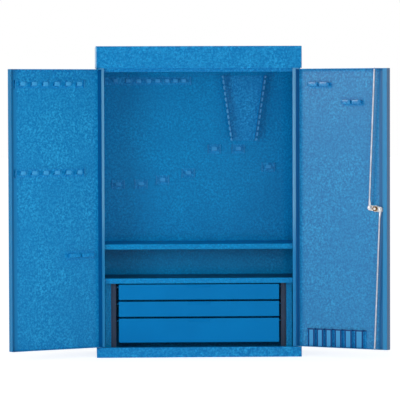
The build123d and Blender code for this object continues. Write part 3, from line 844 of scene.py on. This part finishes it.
# --- tool holders
@dataclass
class HookRow:
    """A folded strip with upturned tongues, spot-welded to a panel."""

    name: str
    body: str
    place: Placing
    middle: float
    height: float
    width: float
    tall: float
    hooks: tuple[float, ...]
    hook_width: float
    coat: Coat
    sheet: float = 1.2
    reach: float = 16.0
    rise: float = 13.0
    floor: float = 6.0
    ear: float = 6.0
    bend: float = 5.0

    def tongue(self, shell: Shell, place: float) -> None:
        """Adds one J: out of the strip, round a bend and up. Its tip narrows as part of an ellipse.

        Args:
            shell: what it is added to.
            place: u of its middle.
        """
        low = self.height - self.floor + self.sheet / 2
        out = self.reach - self.sheet / 2
        flat = rounded_path([(0.4, low), (out, low), (out, low - self.sheet / 2 + self.rise)], self.bend, 8)
        tip = np.linspace(0, 1, 7)[1:]
        run = np.concatenate([flat[:-1], flat[-1] + np.outer(tip - 1, [0, 1]) * self.hook_width * 0.35])
        line = np.column_stack([np.full(len(run), place), run])
        half = np.full(len(run), self.hook_width / 2)
        half[-len(tip):] *= np.sqrt(1 - (tip * 0.93) ** 2) * 0.35 + 0.65
        shell.grid(strap(line, ACROSS, half, self.sheet))

    def build(self) -> bpy.types.Object:
        """Builds strip, ears, tongues and welds.

        Returns:
            The one piece that they make.
        """
        shell = Shell(self.place)
        shell.grid(slab(section(self.width, self.tall, 1.5) + [self.middle, self.height], 0.0, self.sheet))
        for end in (-1, 1):
            at = self.middle + end * (self.width - self.sheet) / 2
            line = np.array([[at, n, self.height] for n in np.linspace(0.2, self.sheet + self.ear, 6)])
            shell.grid(strap(line, UP, np.array([1, 1, 1, 1, 0.97, 0.9]) * self.tall / 2, self.sheet))
        for place in self.hooks:
            self.tongue(shell, place)
        gaps = (np.array(self.hooks[:-1]) + np.array(self.hooks[1:])) / 2
        for place in gaps[::2]:
            shell.grid(dome(SPOT_WELD, self.sheet, (place, self.height + self.tall * 0.22)))
        return shell.piece(f"{self.name}_formed", self.body, self.coat, "cabinet_paint", (self.name,))


@dataclass
class BandLoops:
    """A plate with two band loops that stand open above and below."""

    name: str
    body: str
    place: Placing
    middle: float
    height: float
    width: float
    tall: float
    loop: float
    coat: Coat
    sheet: float = 1.2
    depth: float = 17.0
    band: float = 12.0
    gap: float = 2.0
    corner: float = 7.5

    def build(self) -> bpy.types.Object:
        """Builds the plate, both loops and two rivets.

        Returns:
            The one piece that they make.
        """
        shell = Shell(self.place)
        shell.grid(slab(section(self.width, self.tall, 1.5) + [self.middle, self.height], 0.0, self.sheet))
        ring = section(self.loop - self.sheet, self.depth - self.sheet, self.corner - self.sheet / 2, 8)
        for end in (-1, 1):
            at = self.middle + end * (self.loop + self.gap) / 2
            line = np.column_stack([ring[:, 0] + at, ring[:, 1] + self.sheet / 2 + self.depth / 2,
                                    np.full(len(ring), self.height)])
            loop = strap(line, UP, np.full(len(ring), self.band / 2), self.sheet, closed=True)
            shell.grid(loop, ring=True)
            shell.grid(dome(RIVET, self.sheet, (at, self.height)))
        return shell.piece(f"{self.name}_formed", self.body, self.coat, "cabinet_paint", (self.name,))


@dataclass
class BitPockets:
    """A corrugated strip whose raised ribs are pockets."""

    spans: tuple = POCKET_SPANS
    foot: float = 8.0
    depth: float = POCKET_DEPTH
    sheet: float = 1.2
    low: float = 36.5
    high: float = POCKET_TOP
    bend: float = 1.8

    def build(self) -> bpy.types.Object:
        """Carries the corrugated line up the door as one bent sheet.

        Returns:
            The piece.
        """
        half = self.sheet / 2
        corners = [(self.spans[0][0] - self.foot, half)]
        for start, span in self.spans:
            corners += [(start - half, half), (start - half, self.depth + half),
                        (start + span + half, self.depth + half), (start + span + half, half)]
        corners.append((self.spans[-1][0] + self.spans[-1][1] + self.foot, half))
        path = rounded_path(corners, self.bend, 4)
        line = np.column_stack([path, np.full(len(path), (self.low + self.high) / 2)])
        shell = Shell(RIGHT_DOOR)
        shell.grid(strap(line, UP, np.full(len(path), (self.high - self.low) / 2), self.sheet))
        return shell.piece("bit_pocket_strip_formed", "right_door", Coat.POCKETS, "cabinet_paint",
                           ("bit_pocket_strip",))


@dataclass
class SpannerRack:
    """A tapering plate between two toothed flanges; a small lip turns outwards from each tooth."""

    foot_z: float = 686.0
    head_z: float = 897.0
    foot_middle: float = 154.2
    head_middle: float = 155.3
    foot_width: float = 76.5
    head_width: float = 136.0
    depth: float = 40.0
    lip: float = 5.0
    pitch: float = 19.0
    gap: float = 6.0
    notch: float = 13.0
    ease: float = 1.2
    sheet: float = 1.2
    weld_across: float = 22.0
    weld_inset: float = 30.0

    def flange_line(self, side: int) -> tuple[np.ndarray, np.ndarray, float]:
        """The line along which a flange meets the plate.

        Args:
            side: -1 for the left flange, 1 for the right.

        Returns:
            Its foot in u and z, the unit vector up it, and its length.
        """
        foot = np.array([self.foot_middle + side * self.foot_width / 2, self.foot_z])
        head = np.array([self.head_middle + side * self.head_width / 2, self.head_z])
        length = float(np.linalg.norm(head - foot))
        return foot, (head - foot) / length, length

    def notches(self, length: float) -> np.ndarray:
        """Middles of the notches along a flange."""
        count = int(length // self.pitch)
        return (length - (count - 1) * self.pitch) / 2 + self.pitch * np.arange(count)

    def comb(self, length: float) -> np.ndarray:
        """Outline of a flange laid flat: each notch ends in a half circle and each tooth has eased corners.

        Args:
            length: length of the flange.

        Returns:
            Array (count, 2) of distance up the flange and n.
        """
        half, ease = self.gap / 2, self.ease
        floor = self.depth - self.notch + half
        round_end = np.linspace(math.pi, 0.0, 9)
        line = [(0.0, 0.0), (0.0, self.depth - ease), (ease, self.depth)]
        for middle in self.notches(length):
            line += [(middle - half - ease, self.depth), (middle - half, self.depth - ease)]
            line += [(middle + half * math.cos(a), floor - half * math.sin(a)) for a in round_end]
            line += [(middle + half, self.depth - ease), (middle + half + ease, self.depth)]
        line += [(length - ease, self.depth), (length, self.depth - ease), (length, 0.0)]
        return np.asarray(line)

    def flange(self, shell: Shell, side: int) -> None:
        """Adds one flange with a lip on each tooth.

        Args:
            shell: what it is added to.
            side: -1 for the left flange, 1 for the right.
        """
        foot, rise, length = self.flange_line(side)
        comb = self.comb(length)
        faces = []
        for inward in (0.0, side * self.sheet):
            place = foot + comb[:, :1] * rise - [inward, 0.0]
            faces.append(np.column_stack([place[:, 0], comb[:, 1], place[:, 1]]))
        shell.grid(np.stack(faces))
        middles = self.notches(length)
        starts = np.concatenate([[0.0], middles + self.gap / 2])
        stops = np.concatenate([middles - self.gap / 2, [length]])
        for start, stop in zip(starts, stops):
            shape = [(start + 0.4, -0.6), (stop - 0.4, -0.6), (stop - 0.4, self.lip - 1.4),
                     (stop - 1.8, self.lip), (start + 1.8, self.lip), (start + 0.4, self.lip - 1.4)]
            if side == 1:
                shape.reverse()
            outline = np.array([foot + up * rise + [side * out, 0.0] for up, out in shape])
            shell.grid(slab(outline, self.depth - self.sheet, self.depth, 0.2))

    def build(self) -> bpy.types.Object:
        """Builds plate, flanges, lips and four welds.

        Returns:
            The one piece that they make.
        """
        shell = Shell(WALL)
        corners = [(-1, 0), (1, 0), (1, 1), (-1, 1)]
        width, middle = (self.foot_width, self.head_width), (self.foot_middle, self.head_middle)
        height = (self.foot_z, self.head_z)
        outline = np.array([(middle[end] + side * width[end] / 2, height[end]) for side, end in corners])
        shell.grid(slab(outline, 0.0, self.sheet))
        for side in (-1, 1):
            self.flange(shell, side)
        for across in (-self.weld_across, self.weld_across):
            for level in (self.foot_z + self.weld_inset, self.head_z - self.weld_inset):
                shell.grid(dome(RACK_WELD, self.sheet, (self.foot_middle + across, level)))
        return shell.piece("spanner_rack_formed", "carcass", Coat.RACK, "cabinet_paint",
                           ("spanner_rack",))


# --- lock
@dataclass
class LockSet:
    """The rod lock on the right door: cam, nut, pins, two rods, and rosette and handle outside."""

    reach: float = 273.5
    height: float = 476.5
    tilt: float = 8.7
    pin_circle: float = 19.0
    rod: float = 6.0
    rod_n: float = 15.5
    eye: float = 14.0
    top_end: float = 918.5
    low_end: float = 33.0
    cam_length: float = 55.0
    cam_width: float = 17.0
    cam_faces: tuple = (9.0, 12.0)
    nut_edge: tuple = ((7.0, 12.0), (7.5, 12.5), (7.5, 16.2), (6.9, 17.0), (4.3, 17.0), (4.0, 16.6))
    pin_edge: tuple = ((3.0, 9.0), (3.0, 15.5), (4.3, 15.6), (4.5, 15.9), (4.4, 16.4), (3.6, 16.9),
                       (2.0, 17.1), (0.05, 17.1))
    eye_edge: tuple = ((3.1, 12.7), (3.5, 12.3), (6.6, 12.3), (7.0, 12.7), (7.0, 14.9), (6.6, 15.3),
                       (3.5, 15.3), (3.1, 14.9))
    neck: tuple = (4.6, 1.45, 13.8)  # half width, half depth and n of a rod at its eye
    neck_run: float = 22.0
    rosette_edge: tuple = ((6.1, -1.2), (6.1, -9.2), (13.0, -9.2), (16.6, -9.0), (18.2, -8.2), (18.9, -6.8),
                           (19.0, -4.5), (19.0, -1.2))
    grip_length: float = 62.0
    grip_width: float = 20.0
    grip_corner: float = 9.9
    grip_edge: tuple = ((4.5, -12.1), (2.2, -12.7), (0.7, -14.2), (0.0, -16.4), (0.0, -18.6), (0.6, -20.9),
                        (1.6, -22.6), (2.2, -23.3))
    hub_edge: tuple = ((11.2, -9.5), (12.0, -10.3), (12.0, -13.0), (10.5, -15.5), (9.0, -17.0))
    seat_edge: tuple = ((7.5, -21.5), (7.5, -23.5), (8.4, -23.5), (9.0, -23.2), (9.2, -22.4), (9.2, -21.5))

    @property
    def axis(self) -> Pair:
        """Place u, z of the spindle."""
        return (self.reach, self.height)

    def pin_place(self, end: int) -> Pair:
        """Place u, z of a cam pin: -1 for the upper rod's, 1 for the lower rod's."""
        angle, arm = math.radians(self.tilt), end * self.pin_circle
        return (self.reach + arm * math.cos(angle), self.height - arm * math.sin(angle))

    def cam(self) -> None:
        """The cam plate, with round ends and eased edges. Its bore is left out, as the nut covers it."""
        shape = section(self.cam_length, self.cam_width, self.cam_width / 2, 8)
        shell = Shell(RIGHT_DOOR).grid(slab(turned(shape, -self.tilt, self.axis), *self.cam_faces, 0.5))
        shell.piece("lock_cam_formed", "lock", Coat.ZINC, "zinc_plate", ("lock_cam",))

    def nut(self) -> None:
        """A chamfered hexagon nut: its radius is divided by the cosine of the angle from a flat's middle."""
        turn = np.linspace(0, 2 * math.pi, 24, endpoint=False)
        flats = 1.0 / np.maximum(np.cos((turn % (math.pi / 3)) - math.pi / 6), 0.86)
        shell = Shell(RIGHT_DOOR).grid(lathe(self.nut_edge, self.axis, 24, flats))
        shell.piece("cam_nut_formed", "lock", Coat.BRASS, "brass", ("cam_nut",), smooth=25.0)

    def pin(self, end: int, name: str) -> None:
        """A shouldered pin with a domed head."""
        shell = Shell(RIGHT_DOOR).grid(lathe(self.pin_edge, self.pin_place(end), 24))
        shell.piece(f"{name}_formed", "lock", Coat.ZINC, "zinc_plate", (name,))

    def lock_rod(self, end: int, tip_z: float, body: str) -> None:
        """A round rod whose end is forged flat into an eye: its section eases from a thin oval to a circle.

        Args:
            end: -1 for the upper rod, 1 for the lower.
            tip_z: height of the rod's far end.
            body: body of the frame that the rod is.
        """
        u, z = self.pin_place(end)
        run = np.array([self.reach - u, 0.0, tip_z - z])
        length = float(np.linalg.norm(run))
        ahead = run / length
        side = np.cross(ahead, [0.0, 1.0, 0.0])
        forged, drawn = np.linspace(self.eye / 2 - 1.2, 34.0, 12), np.linspace(60.0, length - 12.0, 8)
        steps = np.concatenate([forged, drawn, [length - 1.2, length - 0.5, length]])
        ease = np.clip((steps - self.eye / 2) / self.neck_run, 0, 1)
        ease = ease * ease * (3 - 2 * ease)
        tip = np.array([1.0] * (len(steps) - 2) + [0.9, 0.62])
        neck_width, neck_depth, neck_n = self.neck
        depth = (neck_depth + (self.rod / 2 - neck_depth) * ease) * tip
        width = (neck_width + (self.rod / 2 - neck_width) * ease) * tip
        line = np.array([u, 0.0, z]) + steps[:, None] * ahead
        line[:, 1] = neck_n + (self.rod_n - neck_n) * ease
        shell = Shell(RIGHT_DOOR)
        shell.grid(bar(line, side, width, depth))
        shell.grid(lathe(self.eye_edge, (u, z)), ring=True)
        name = "upper_lock_rod" if end < 0 else "lower_lock_rod"
        shell.piece(f"{name}_forged", body, Coat.ROD, "bright_rod", (name,))

    def rosette(self) -> None:
        """A turned rosette with a rolled rim on the outer face."""
        shell = Shell(RIGHT_DOOR).grid(lathe(self.rosette_edge, self.axis, 48), ring=True)
        shell.piece("lock_rosette_turned", "right_door", Coat.CHROME, "handle_chrome",
                    ("lock_rosette",))

    def handle(self) -> None:
        """An oval turn handle: a drawn-in slot shape on a round hub, with a seat for the key cylinder."""
        shape = section(self.grip_length, self.grip_width, self.grip_corner, 10)
        shell = Shell(RIGHT_DOOR).grid(plate(turned(shape, -self.tilt, self.axis), self.grip_edge))
        shell.grid(lathe(self.hub_edge, self.axis, 40))
        shell.grid(lathe(self.seat_edge, self.axis, 40), ring=True)
        shell.piece("lock_handle_cast", "lock", Coat.CHROME, "handle_chrome", ("lock_handle",))

    def build(self) -> None:
        """Builds the whole lock."""
        self.cam()
        self.nut()
        self.pin(-1, "upper_cam_pin")
        self.pin(1, "lower_cam_pin")
        self.lock_rod(-1, self.top_end, "upper_rod")
        self.lock_rod(1, self.low_end, "lower_rod")
        self.rosette()
        self.handle()


# --- drawers
DRAWERS = (("top", 231.0, 49.0), ("middle", 176.5, 48.5), ("bottom", 122.5, 77.0))  # z of the top, and height


@dataclass
class DrawerFront:
    """A folded drawer front with rounded bends and a pull lip that curves away from its upper edge."""

    label: str
    top: float
    tall: float
    width: float = 512.0
    fold: float = 12.0
    sheet: float = 1.0
    bend: float = 1.5
    pull: float = 70.0
    pull_path: tuple = ((-0.1, -10.0), (0.35, -6.5), (2.4, -0.2))  # n, and z from the front's top

    def build(self) -> bpy.types.Object:
        """Builds the pan as rings from its inner face round the rim to its outer face, then the lip.

        Returns:
            The one piece that they make.
        """
        shell = Shell(DRAWER_FACE)
        centre = (0.0, self.top - self.tall / 2)
        quarter = np.linspace(0, math.pi / 2, 5)
        round_over = [(self.bend * (1 - math.cos(a)), -self.bend * (1 - math.sin(a))) for a in quarter]
        inner = [(5.0, -self.sheet), (self.sheet + 0.8, -self.sheet), (self.sheet, -self.sheet - 0.8)]
        rim = [(self.sheet, -self.fold), (0.0, -self.fold)]
        shell.grid(pan(self.width, self.tall, 1.6, centre, inner + rim + round_over + [(5.0, 0.0)]))
        path = rounded_path([(n, self.top + z) for n, z in self.pull_path], 3.0, 8)
        line = np.column_stack([np.zeros(len(path)), path])
        half = np.full(len(path), self.pull / 2)
        half[-1] -= 1.2
        half[0] -= 1.5
        shell.grid(strap(line, ACROSS, half, self.sheet))
        name = f"{self.label}_drawer_front"
        return shell.piece(f"{name}_folded", f"{self.label}_drawer", Coat.DRAWER, "drawer_paint",
                           (name,), 40.0)


# --- studio
WHITE = (1.0, 1.0, 1.0, 1.0)


@dataclass
class Studio:
    """Plain floor, soft lamps, white world and the camera of the picture."""

    aim: tuple = (0.0031, -0.125, 0.5011)
    distance: float = 9.5
    yaw: float = 2.164
    pitch: float = 2.016
    roll: float = -0.18
    focal_px: float = 2989.6
    frame_px: float = 400.0
    room: float = 0.5
    room_in_gloss: float = 0.1
    floor_reach: float = 30.0
    floor_lift: float = 0.66
    lamps: tuple = (
        ("key_lamp", (-1.15, -1.75, 0.45), (0.0, 0.0, 0.5), 0.6, 9.5, True, False),
        ("fill_lamp", (1.4, -2.4, 0.8), (0.0, 0.0, 0.5), 1.4, 7.5, True, True),
        ("front_lamp", (0.05, -3.3, 0.75), (0.0, 0.0, 0.5), 0.9, 21.0, True, False),
        ("side_lamp", (-2.3, -1.5, 2.0), (0.45, -0.2, 0.8), 1.2, 58.0, False, True),
    )

    def camera(self) -> None:
        """Sets the camera from its yaw, pitch, roll and distance to the aim point."""
        yaw, pitch, roll = (math.radians(a) for a in (self.yaw, self.pitch, self.roll))
        ahead = Vector((math.sin(yaw) * math.cos(pitch), math.cos(yaw) * math.cos(pitch), -math.sin(pitch)))
        right = Vector((math.cos(yaw), -math.sin(yaw), 0.0))
        up = right.cross(ahead)
        turned_right = right * math.cos(roll) + up * math.sin(roll)
        turned_up = up * math.cos(roll) - right * math.sin(roll)
        data = bpy.data.cameras.new("camera")
        data.sensor_width = 36.0
        data.lens = self.focal_px * data.sensor_width / self.frame_px
        data.clip_start, data.clip_end = 0.5, 60.0
        made = bpy.data.objects.new("camera", data)
        bpy.context.scene.collection.objects.link(made)
        turn = Matrix((turned_right, turned_up, -ahead)).transposed().to_4x4()
        made.matrix_world = Matrix.Translation(Vector(self.aim) - ahead * self.distance) @ turn
        bpy.context.scene.camera = made

    def lamp(self, name: str, place: tuple, aim: tuple, size: float, watts: float, lights: bool,
             shines: bool) -> None:
        """Adds one square area lamp.

        Args:
            name: the lamp's name.
            place: where it stands.
            aim: the point that it faces.
            size: length of its sides.
            watts: its power.
            lights: whether it lights matte surfaces.
            shines: whether it shows as a sheen.
        """
        data = bpy.data.lights.new(name, "AREA")
        data.shape, data.size, data.energy = "SQUARE", size, watts
        made = bpy.data.objects.new(name, data)
        made.location = place
        made.rotation_euler = (Vector(aim) - Vector(place)).to_track_quat("-Z", "Y").to_euler()
        made.visible_camera = False
        made.visible_diffuse, made.visible_glossy = lights, shines
        bpy.context.scene.collection.objects.link(made)

    def floor(self) -> None:
        """A pale floor that looks white where no shadow falls, to the camera and in gloss."""
        mesh = bpy.data.meshes.new("floor")
        side = np.array([[-1, -1], [1, -1], [1, 1], [-1, 1]]) * self.floor_reach
        mesh.from_pydata(np.column_stack([side, np.zeros(4)]).tolist(), [], [(0, 1, 2, 3)])
        graph = Graph(bpy.data.materials.new("pale_floor"))
        base = graph.node("ShaderNodeBsdfDiffuse", {}, {"Color": (0.80, 0.80, 0.80, 1.0)}, 0)
        strength = (graph.ray("Camera") + graph.ray("Glossy")) * self.floor_lift
        lift = graph.node("ShaderNodeEmission", {}, {"Color": WHITE, "Strength": strength}, 0)
        both = graph.node("ShaderNodeAddShader", {}, {0: base, 1: lift}, 0)
        mesh.materials.append(graph.finish(both, "ShaderNodeOutputMaterial"))
        made = bpy.data.objects.new("floor", mesh)
        bpy.context.scene.collection.objects.link(made)

    def world(self) -> None:
        """White to the camera, white in gloss towards the backdrop, and a soft grey light for the rest."""
        world = bpy.data.worlds.new("studio")
        bpy.context.scene.world = world
        graph = Graph(world)
        heading = graph.node("ShaderNodeTexCoord", {}, {}, "Generated")
        backdrop = graph.node("ShaderNodeSeparateXYZ", {}, {0: heading}, "Y").over(-0.1, 0.5)
        camera, gloss, through = graph.ray("Camera"), graph.ray("Glossy"), graph.ray("Transmission")
        mirrored = gloss * (self.room_in_gloss + (1.0 - self.room_in_gloss) * backdrop)
        matte = 1.0 - camera - gloss - through
        level = camera + through + mirrored + matte * self.room
        inputs = {"Color": WHITE, "Strength": level}
        graph.finish(graph.node("ShaderNodeBackground", {}, inputs, 0), "ShaderNodeOutputWorld")

    def build(self) -> None:
        """Sets the whole studio."""
        self.camera()
        for lamp in self.lamps:
            self.lamp(*lamp)
        self.floor()
        self.world()
        bpy.context.scene.view_settings.view_transform = "Standard"


# --- the cabinet
@dataclass
class ToolHolders:
    """Every hook strip, clip, loop and pocket on the doors and the back."""

    door_hooks: tuple = tuple(72.0 + 40.6 * turn for turn in range(6))
    back_hooks: tuple = (-261.0, -220.5, -186.0, -153.5, -124.5, -94.0, -67.0, -40.0)
    clips: tuple = ((-253.5, 544), (-179.5, 545), (-109.5, 558), (-26, 580.5), (59, 658.5), (137, 658.5),
                    (235, 599))
    loops: tuple = (
        ("left_door_loop_holder", "left_door", LEFT_DOOR, 66.0, 329.0, 104.0, 30.0, 46.0, Coat.HAMMER),
        ("right_door_upper_loop_holder", "right_door", RIGHT_DOOR, 71.5, 867.5, 85.0, 25.0, 37.0,
         Coat.RIGHT_FITTING),
        ("right_door_lower_loop_holder", "right_door", RIGHT_DOOR, 188.5, 811.5, 76.0, 24.0, 34.0,
         Coat.RIGHT_FITTING),
    )

    def build(self) -> None:
        """Builds them all in turn."""
        for name, height in (("left_door_upper_strip", 870.0), ("left_door_lower_strip", 591.0)):
            HookRow(name, "left_door", LEFT_DOOR, 173.5, height, 248.0, 26.0, self.door_hooks, 18.0,
                    Coat.LEFT_HOOK).build()
        HookRow("back_hook_strip", "carcass", WALL, -156.0, 880.0, 280.0, 26.0, self.back_hooks, 15.0,
                Coat.WALL_HOOK).build()
        for number, (across, height) in enumerate(self.clips, 1):
            HookRow(f"tool_clip_{number}", "carcass", WALL, across, height, 41.0, 30.0, (across,), 17.0,
                    Coat.WALL_HOOK).build()
        for holder in self.loops:
            BandLoops(*holder).build()
        BitPockets().build()


def main() -> None:
    """Builds the looks in order."""
    logging.basicConfig(level=logging.INFO, format="%(name)s: %(message)s")
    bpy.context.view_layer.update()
    dress_nodes()
    ToolHolders().build()
    SpannerRack().build()
    LockSet().build()
    for label, top, tall in DRAWERS:
        DrawerFront(label, top, tall).build()
    Studio().build()


if __name__ == "__main__":
    main()
